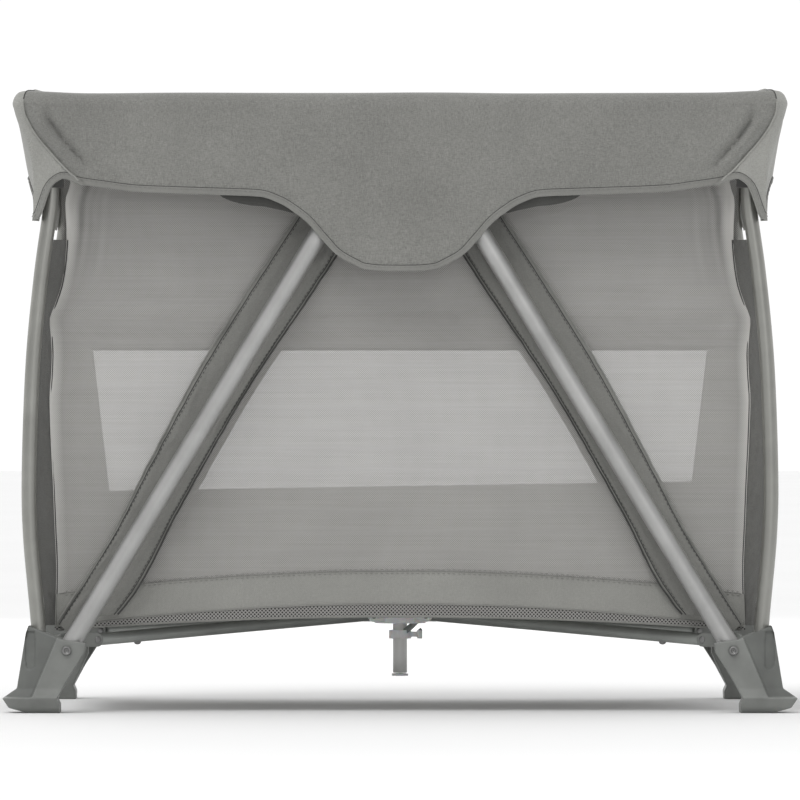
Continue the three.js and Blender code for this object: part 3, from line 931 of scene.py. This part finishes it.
def sleeve_strips(tag, sx, sy):
    """Two stitched cloth strips behind each diagonal leg, one along each side of the tube."""
    square = Vector((LEG_WAY.z, 0, -LEG_WAY.x))
    out = Vector((0, sy, 0))
    strips = [("outer", 1, STRIP_OUTER, 0.016, 0.004, TAPE),
              ("inner", -1, STRIP_INNER, 0.046, 0.018, DARK_THREAD_AND_SHADOW)]
    for name, sign, reach, start, slant, roll_cloth in strips:
        def surface(u, v):
            first = start + slant * v
            d = first + (STRIP_END - first) * u
            across = sign * (0.006 + (through(reach, d) - 0.006) * v)
            p = RIVET + LEG_WAY * d + square * across
            seed = sx * 3.0 + sy * 5.0 + sign
            ripple = noise.noise(Vector((d * 22, v * 2.0, seed))) * 0.0042
            fold = noise.noise(Vector((d * 70, v * 5.0, seed + 9))) * 0.0016
            y = WALL_Y + 0.0075 + math.sin(math.pi * v) * 0.0025
            y += max(-0.0035, ripple + fold) * (0.25 + 0.75 * v)
            edge = noise.noise(Vector((d * 60, 7.0, seed))) * 0.0007 * v
            return mirrored((p.x + edge, y, p.z), sx, sy)

        label = f"leg_strip_{name}"
        strip = sheet(f"{label}_{tag}", surface, span(0, 1, 0.005), span(0, 1, 0.07), STRIP,
                      outward=(sx * sy > 0) == (name == "outer"))
        row = [(surface(u, 0.80) + out * 0.0003, out) for u in span(0.005, 0.995, 0.0014)]
        edge = [surface(u, 1.0) for u in span(0, 1, 0.01)]
        line = [surface(u, 0.86) + out * 0.0002 for u in span(0, 1, 0.01)]
        trims = [stitches(f"{label}_stitches_{tag}", [row], 0.00036, DARK_THREAD_AND_SHADOW),
                 tube(f"{label}_edge_{tag}", edge, 0.0011, roll_cloth, sides=8),
                 tube(f"{label}_line_{tag}", line, 0.0006, DARK_THREAD_AND_SHADOW, sides=6)]
        attach([strip] + trims, f"diagonal_{tag}")


def posts():
    """Bowed, powder coated corner posts."""
    y = abs(POST_LOW.y + POST_HIGH.y) / 2
    radius = (POST_HIGH.y - POST_LOW.y) / 2
    for tag, sx, sy in CORNERS:
        path = smooth_path([(x * sx, y * sy, z) for z, x in BOW], 8)
        piece = tube(f"bowed_post_{tag}", path, radius, POST, sides=36)
        attach([piece], f"corner_{tag}")
        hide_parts(f"post_{tag}")


SOLE_STEP = 0.0185  # the foot's outer face is set back above this height
GROOVE_END, GROOVE_R = 0.0555, 0.0058  # middle of the groove's round end, and half its width


def past_socket_edge(x, z):
    """Distance past the slanting edge where the leg's socket stands proud of the post's socket."""
    return x - (0.3902 + (0.0848 - z) * 0.422)


def foot_relief(x, y, z):
    """How far the foot's outer face is set back at a place."""
    back = 0.0
    past = past_socket_edge(x, z)
    if z > SOLE_STEP - 0.001 and past > 0:
        back += 0.0050 * min(1.0, past / 0.0014) + past * 0.34
    if z > SOLE_STEP:
        back += 0.0014 * min(1.0, (z - SOLE_STEP) / 0.001)
    # a round-ended groove down the post's socket
    across = x - (0.4213 - 0.03 * (0.09 - z))
    inside = (abs(across) if z > GROOVE_END else math.hypot(across, GROOVE_END - z)) < GROOVE_R
    if inside and 0.04 < z < 0.0925:
        back += 0.0026
    return back * clamp((y - 0.304) / 0.014)


def feet():
    """Moulded feet, with a round-ended groove in the outer face and a step above the sole."""
    for tag, sx, sy in CORNERS:
        def shape(co):
            co.y -= sy * foot_relief(co.x * sx, co.y * sy, co.z)

        piece = refined(f"foot_{tag}", f"moulded_foot_{tag}", FOOT, 0.0009, 5, shape)
        # painted shade: the set-back outer faces take the darker copy of the foot nylon
        piece.data.materials.append(FOOT_PAINTED_SHADE)
        for face in piece.data.polygons:
            x, y, z = mirrored(face.center, sx, sy)
            if z > SOLE_STEP and y > 0.300 and past_socket_edge(x, z) > 0:
                face.material_index = 1
        attach([piece], f"corner_{tag}")
        sole_pad(tag, sx, sy)
        rivet(tag, sx, sy)


def sole_pad(tag, sx, sy):
    """A thin ribbed rubber pad let into the sole."""
    x0, x1 = 0.392, 0.421
    y0, y1 = 0.267, 0.311

    def surface(u, v):
        x, y = x0 + (x1 - x0) * u, y0 + (y1 - y0) * v
        edge = min(u, 1 - u, v, 1 - v)
        rib = 0.0 if edge < 0.05 else 0.000125 * (1 + math.sin(y * 2 * math.pi / 0.004))
        return mirrored((x, y, 0.0011 - min(edge * 0.02, 0.0008) - rib), sx, sy)

    piece = sheet(f"sole_pad_{tag}", surface, span(0, 1, 0.05), span(0, 1, 0.02), DARK, thickness=0.001,
                  outward=sx * sy < 0)
    attach([piece], f"corner_{tag}")


def rivet(tag, sx, sy):
    """The hollow rivet through the foot and the leg."""
    low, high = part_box(f"foot_rivet_{tag}")
    face = high.y if sy > 0 else low.y
    profile = [(0.0052, -0.0008), (0.0053, 0.0006), (0.0049, 0.0013), (0.0041, 0.0017), (0.0032, 0.0016),
               (0.0026, 0.0009), (0.0022, 0.0001), (0.0006, 0.0)]
    seat = Vector((RIVET.x * sx, face - sy * 0.0020, RIVET.z))
    head = turned(f"rivet_head_{tag}", seat, (0, sy, 0), profile, RIVET_METAL, sides=36)
    shank = tube(f"rivet_shank_{tag}", [(RIVET.x * sx, y * sy, RIVET.z) for y in (0.2925, 0.3240)], 0.004,
                 RIVET_METAL, sides=24)
    shank.parent = head
    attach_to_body(head, f"corner_{tag}")
    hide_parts(f"foot_rivet_{tag}")


def base_tubes():
    """Thin tubes that cross under the tub, pinned at both ends."""
    for tag, sx, sy in CORNERS:
        a, b = mirrored(BASE_PIVOT, sx, sy), mirrored(HUB_PIVOT, sx, sy)
        piece = plugged_bar(f"crossed_tube_{tag}", a, b, 0.007, BASE_PLUG, 10, BASE_METAL, 30)
        attach([piece], f"base_tube_{tag}")
        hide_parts(f"base_tube_{tag}")
        across = Vector((-sy * HUB_PIVOT.y, sx * HUB_PIVOT.x, 0)).normalized()
        for k, (spot, body) in enumerate(((a, f"corner_{tag}"), (b, "base_hub"))):
            for end, letter in ((-1, "a"), (1, "b")):
                head = domed(f"pivot_head_{tag}_{k}_{letter}", spot + across * (end * 0.0106), across * end,
                             0.0042, 0.0014, RIVET_METAL, base=0.0008, sides=24)
                attach([head], body)
        # small bolt end under the tube
        spot = a + (b - a).normalized() * 0.062 - Vector((0, 0, 0.0070))
        bolt = domed(f"tube_bolt_{tag}", spot, (0, 0, -1), 0.0042, 0.0030, RIVET_METAL, base=0.003, sides=20)
        bolt.parent = piece


def base_centre():
    """Hub, cap, centre leg and release collar."""
    low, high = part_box("centre_leg")
    r = (high.x - low.x) / 2
    ends = [(0, 0, z) for z in (low.z, low.z + 0.001, high.z - 0.001, high.z)]
    leg = tube("centre_leg_tube", ends, [r - 0.0006, r, r, r - 0.0006], LEG, sides=36)
    attach([leg], "base_hub")
    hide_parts("centre_leg")
    for node, name, body, voxel, rounding in (("base_hub", "moulded_base_hub", "base_hub", 0.0008, 3),
                                              ("base_hub_cap", "moulded_hub_cap", "base_hub", 0.0007, 3),
                                              ("centre_leg_cap", "moulded_leg_cap", "base_hub", 0.0005, 2),
                                              ("release_collar", "moulded_release_collar", "release_collar",
                                               0.0005, 3)):
        collar = refined(node, name, MILKY, voxel, rounding)
        attach([collar], body)
    # a short bent wire leaves the collar's arm, and a flat brace leans from the leg up to the hub
    bent = smooth_path([(0.0225, 0, 0.0875), (0.0240, -0.001, 0.0885), (0.0250, -0.001, 0.0895)], 6)
    wire = tube("release_wire", bent, 0.0016, ZINC, sides=14)
    wire.parent = collar
    leaning = smooth_path([(0.0045, -0.0065, 0.0855), (0.013, -0.0085, 0.0925), (0.021, -0.0095, 0.1005),
                           (0.026, -0.0095, 0.1065)], 6)
    brace = tube("leg_brace", leaning, 0.0042, BASE_METAL, sides=20, squeeze=0.55)
    attach([brace], "base_hub")


def top_frame():
    """Frame pieces that the covers hide: fine copies with rounded edges."""
    for tag, sx, sy in CORNERS:
        def under_cover(co):
            # the bracket's outer faces follow the cover, which leans in towards its hem
            drop = max(0.0, 0.693 - co.z)
            co.x = sx * min(co.x * sx, COVER_X - 0.0095 - 0.36 * drop)
            co.y = sy * min(co.y * sy, COVER_Y - 0.0095 - 0.26 * drop)
            co.z = min(co.z, COVER_TOP - 0.0065)

        bracket = f"corner_bracket_{tag}"
        piece = refined(bracket, f"moulded_{bracket}", DARK, 0.0012, 3, under_cover)
        attach([piece], f"corner_{tag}")
        for node in (f"outer_rail_{tag}", f"inner_rail_{tag}", f"end_rail_{tag}"):
            attach([refined(node, f"zinc_{node}", ZINC, 0.0009, 2)], node)
    for depth, _ in LONG_SIDES:
        hub, button = f"top_hub_{depth}", f"hub_button_{depth}"
        attach([refined(hub, f"moulded_{hub}", DARK, 0.001, 3)], hub)
        attach([refined(button, f"moulded_{button}", MILKY, 0.0005, 3)], button)


# ---- tub floor, bassinet and mattress ----------------------------------------------------------
INNER_Y = WALL_Y - 0.0075  # the inner lining's distance from the middle
COLUMN_LOW = 0.250  # height where the side strips of the lining begin


def lining_frame():
    """Opaque cloth inside each long wall: a band above the floor and a strip at each end."""
    for depth, sy in LONG_SIDES:
        front = depth == "front"

        def band(u, v):
            top = 0.2598 + 0.0062 * u - (0.0 if front else 0.012)
            z = FLOOR_Z - 0.002 + (top - FLOOR_Z) * v
            x = u * (0.388 - 0.002 * v)
            y = INNER_Y - 0.002 * math.sin(math.pi * v) - wobble((x, 0, z), 8, 0.0015, 4 + sy)
            return Vector((x, sy * y, z))

        lower = sheet(f"inner_band_{depth}", band, span(-1, 1, 0.02), span(0, 1, 0.08), LINING, outward=sy < 0)
        gather([lower], depth, sy)
        for side, sx in END_SIDES:
            def column(u, v):
                z = COLUMN_LOW + (BASSINET_LOW.z - COLUMN_LOW) * u
                inner = (0.3327 if front else 0.347) + 0.019 * u
                x = inner + (0.389 - inner) * v
                return mirrored((x, INNER_Y - wobble((x, 0, z), 9, 0.0012, sx), z), sx, sy)

            strip = sheet(f"inner_side_{depth}_{side}", column, span(0, 1, 0.08), span(0, 1, 0.12), LINING,
                          outward=sx * sy < 0)
            gather([strip], depth, sy)


COLUMN_X = 0.13  # the floor cloths fold in three columns and two rows


def folding_floor(name, half_x, half_y, height, middle_body, replaced):
    """A floor cloth in six panels, each folding into the frame with the pieces around it."""
    for row, sy in LONG_SIDES:
        for column, x0, x1, body in (("left", -half_x, -COLUMN_X, f"corner_{row}_left"),
                                     ("middle", -COLUMN_X, COLUMN_X, middle_body.format(row=row)),
                                     ("right", COLUMN_X, half_x, f"corner_{row}_right")):
            def surface(u, v):
                x = x0 + (x1 - x0) * u
                y = sy * half_y * v
                dip = (1 - (x / half_x) ** 2) * (1 - v * v) * 0.002
                return Vector((x, y, height - dip + wobble((x, y, 0), 8, 0.0012, height * 7)))

            piece = sheet(f"{name}_{row}_{column}", surface, span(0, 1, 0.05), span(0, 1, 0.05), LINING,
                          outward=sy > 0)
            attach([piece], body)
            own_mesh(piece)
            if row == "front" and column == "middle":
                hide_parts(replaced)


RIM_Z, RIM_TOP = 0.628, 0.694


def bassinet_point(along, sign, u, z, lift=0.0):
    """A bassinet side at u from -1 to 1 and height z: it bulges in, and flares out to the rails."""
    flare = ease((z - 0.60) / 0.055) * 0.0165
    bulge = 0.003 * math.sin(math.pi * (z - BASSINET_LOW.z) / 0.27)
    x = BASSINET_HIGH.x - 0.001 + flare
    if along:
        place = Vector((u * x, 0, z))
        y = BASSINET_HIGH.y - 0.001 + flare + lift - bulge - wobble(place, 7, 0.0018, 9 + sign)
        return place + Vector((0, sign * y, 0))
    place = Vector((0, u * (BASSINET_HIGH.y - 0.002 + flare), z))
    return place + Vector((sign * (x + lift - bulge - wobble(place, 7, 0.0018, 2 + sign)), 0, 0))


def bassinet_walls():
    """The raised bassinet: mesh sides under a cloth rim, and a piped lower edge over its frame."""
    for wall, sign in LONG_SIDES + END_SIDES:
        along = (wall, sign) in LONG_SIDES
        label = "bassinet" if along else "bassinet_end"
        flip = sign > 0 if along else sign < 0
        us = span(-1, 1, 0.03 if along else 0.05)
        pipe_us = span(-0.99, 0.99, 0.04) if along else span(-0.98, 0.98, 0.06)
        low = BASSINET_LOW.z + 0.004

        def point(u, z, lift=0.0):
            return bassinet_point(along, sign, u, z, lift)

        def mesh_side(u, v):
            return point(u, low + (RIM_Z - BASSINET_LOW.z) * v)

        def rim(u, v):
            return point(u, RIM_Z + (RIM_TOP - RIM_Z) * v, 0.0004)

        edge = [point(u, BASSINET_LOW.z + 0.003, 0.001) for u in pipe_us]
        side = sheet(f"{label}_side_{wall}" if along else f"{label}_{wall}", mesh_side, us, span(0, 1, 0.06),
                     INNER_MESH, outward=flip)
        trims = [sheet(f"{label}_rim_{wall}", rim, us, span(0, 1, 0.12), LINING, outward=flip),
                 tube(f"{label}_piping_{wall}", edge, 0.0022, TAPE, sides=10)]
        if along:
            teeth = [point(u, RIM_Z, -0.001) for u in span(-0.98, 0.98, 0.04)]
            trims.append(tube(f"bassinet_zip_{wall}", teeth, 0.0016, ZIP, sides=8))
        gather([side] + trims, wall, sign)


MATTRESS_LOW, MATTRESS_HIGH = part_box("mattress")
MAT_X, MAT_Y = MATTRESS_HIGH.x - 0.006, MATTRESS_HIGH.y - 0.006
MAT_R = 0.034  # plan radius of the mattress's corners
DIAMOND = 0.058  # distance between the quilting's slanting seams


def mattress_outline(scale, z):
    """Points round the mattress at a height, with quarter-round corners."""
    points = []
    for cx, cy, begin in ((1, 1, 0), (-1, 1, 90), (-1, -1, 180), (1, -1, 270)):
        for turn in range(13):
            t = math.radians(begin + 7.5 * turn)
            x = cx * (MAT_X - MAT_R) + MAT_R * math.cos(t)
            y = cy * (MAT_Y - MAT_R) + MAT_R * math.sin(t)
            points.append(Vector((x * scale, y * scale, z)))
    return points


def quilted(x, y):
    """How far the mattress's top is drawn down: four panels across, each with stitched diamonds."""
    fold = min(abs(x - k * MAT_X / 2) for k in (-1, 0, 1))
    drawn = 0.0065 * clamp((MAT_Y - 0.006 - abs(y)) / 0.02) * hump(fold, 0.008)
    for across in (x + y, x - y):
        seam = abs((across / DIAMOND + 0.5) % 1 - 0.5) * DIAMOND
        drawn += 0.0022 * hump(seam, 0.004)
    return drawn


def mattress():
    """A quilted pad with a piped edge and mesh sides, swollen by a cloth simulation."""
    z0, z1 = MATTRESS_LOW.z + 0.001, MATTRESS_HIGH.z - 0.004
    levels = ((0.99, z0), (1.0, z0 + 0.003), (1.0, z1 - 0.003), (0.99, z1))
    layers = [mattress_outline(scale, z) for scale, z in levels]
    faces = loft_faces(len(layers), len(layers[0]))
    pad = make("mattress_pad", [p for layer in layers for p in layer], faces, MAT_TOP)
    remesh(pad, 0.0055)
    apply_modifiers(pad)
    swell(pad, pressure=3.0, cap=0.0045, floor=MATTRESS_LOW.z)
    for vertex in pad.data.vertices:
        co = vertex.co
        if co.z > (z0 + z1) / 2:
            co.z -= quilted(co.x, co.y)
        co.z = max(co.z, MATTRESS_LOW.z + 0.0002)
    divide = pad.modifiers.new("fine", "SUBSURF")
    divide.levels = divide.render_levels = 1
    apply_modifiers(pad)
    pad.data.materials.clear()
    pad.data.materials.append(MAT_TOP)
    pad.data.materials.append(MAT_SIDE)
    for face in pad.data.polygons:
        face.material_index = 1 if abs(face.normal.z) < 0.55 else 0
    pad.data.shade_smooth()
    attach([pad], "mattress")
    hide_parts("mattress")
    for k, z in (("upper", MATTRESS_HIGH.z - 0.0045), ("lower", MATTRESS_LOW.z + 0.003)):
        near = [pad.closest_point_on_mesh(p)[1] for p in mattress_outline(1.01, z)]
        loop = [Vector((p.x, p.y, z)) for p in near]
        piping = tube(f"mattress_piping_{k}", loop + [loop[0]], 0.0022, TAPE, sides=10)
        attach([piping], "mattress")


def swell(piece, pressure, cap, floor):
    """Blows the pad up gently with cloth, then holds every point within cap of where it began."""
    scene = bpy.context.scene
    rest = np.array([v.co for v in piece.data.vertices])
    settings = piece.modifiers.new("cloth", "CLOTH").settings
    settings.use_pressure = True
    settings.uniform_pressure_force = pressure
    settings.tension_stiffness = 20
    settings.compression_stiffness = 20
    settings.shear_stiffness = 10
    settings.quality = 5
    settings.effector_weights.gravity = 0
    scene.frame_start, scene.frame_end = 1, 20
    for step in range(1, 21):
        scene.frame_set(step)
    graph = bpy.context.evaluated_depsgraph_get()
    moved = np.array([v.co for v in piece.evaluated_get(graph).data.vertices])
    piece.modifiers.clear()
    shift = moved - rest
    size = np.linalg.norm(shift, axis=1, keepdims=True)
    shift *= np.minimum(1, cap / np.maximum(size, 1e-9))
    for vertex, place, by in zip(piece.data.vertices, rest, shift):
        vertex.co = place + by
        vertex.co.z = max(vertex.co.z, floor)
    scene.frame_set(1)


# ---- studio ------------------------------------------------------------------------------------
def lamp(name, kind, energy, way, place=(0, 0, 0)):
    light = bpy.data.lights.new(name, kind)
    light.energy = energy
    holder = bpy.data.objects.new(name, light)
    holder.location = place
    holder.rotation_euler = Vector(way).to_track_quat("-Z", "Y").to_euler()
    bpy.context.scene.collection.objects.link(holder)
    return light


def studio():
    """A pale floor, a world that is brighter behind the yard, a soft sun and two large lamps."""
    bpy.ops.mesh.primitive_plane_add(size=60, location=(0, 20, 0))
    floor = bpy.context.object
    floor.name = "studio_floor"
    m = Nodes("studio_floor")
    paper = m.add("ShaderNodeTexNoise", {"Scale": 40.0}).outputs["Fac"]
    m.link(m.ramp(paper, grey(0.86), grey(0.88)), "Base Color")
    m.fixed(Roughness=0.9)
    floor.data.materials.append(m.material)
    world = bpy.data.worlds.new("studio")
    bpy.context.scene.world = world
    world.use_nodes = True
    nodes, links = world.node_tree.nodes, world.node_tree.links
    sky = nodes["Background"].inputs
    sky["Color"].default_value = (1, 1, 1, 1)
    way = nodes.new("ShaderNodeTexCoord")
    split = nodes.new("ShaderNodeSeparateXYZ")
    rise = nodes.new("ShaderNodeMapRange")
    for key, value in (("From Min", -0.5), ("From Max", 0.4), ("To Min", 0.5), ("To Max", 1.03)):
        rise.inputs[key].default_value = value
    links.new(way.outputs["Generated"], split.inputs[0])
    links.new(split.outputs["Y"], rise.inputs["Value"])
    links.new(rise.outputs[0], sky["Strength"])
    lamp("soft_sun", "SUN", 1.15, (0.32, 0.62, -1.0)).angle = math.radians(35)
    for name, place in (("front_light", (0.9, -4.5, 1.9)), ("back_light", (-0.9, 4.5, 1.9))):
        lamp(name, "AREA", 24, Vector((0, 0, 0.35)) - Vector(place), place).size = 2.4
    bpy.context.scene.view_settings.view_transform = "Standard"


def camera():
    """A long lens square to the front, at half the height of the yard."""
    distance = 12.0
    view_width = 0.909  # of the plane through the front cover
    view_lift = 0.017  # of the view's middle above the lens
    data = bpy.data.cameras.new("camera")
    data.sensor_width = 36
    data.lens = data.sensor_width * (distance - COVER_Y) / view_width
    data.shift_y = view_lift / view_width
    data.clip_end = 200
    view = bpy.data.objects.new("camera", data)
    view.location = (0.0, -distance, 0.339)
    view.rotation_euler = (math.radians(90), 0, 0)
    bpy.context.scene.collection.objects.link(view)
    bpy.context.scene.camera = view


camera()
studio()
rail_covers()
mesh_walls()
corner_gussets()
diagonals()
posts()
feet()
base_tubes()
base_centre()
top_frame()
lining_frame()
folding_floor("tub_floor_cloth", 0.392, 0.256, FLOOR_Z, "base_hub", "tub_floor")
folding_floor("bassinet_floor_cloth", 0.386, 0.250, BASSINET_LOW.z + 0.012, "top_hub_{row}", "bassinet")
bassinet_walls()
mattress()
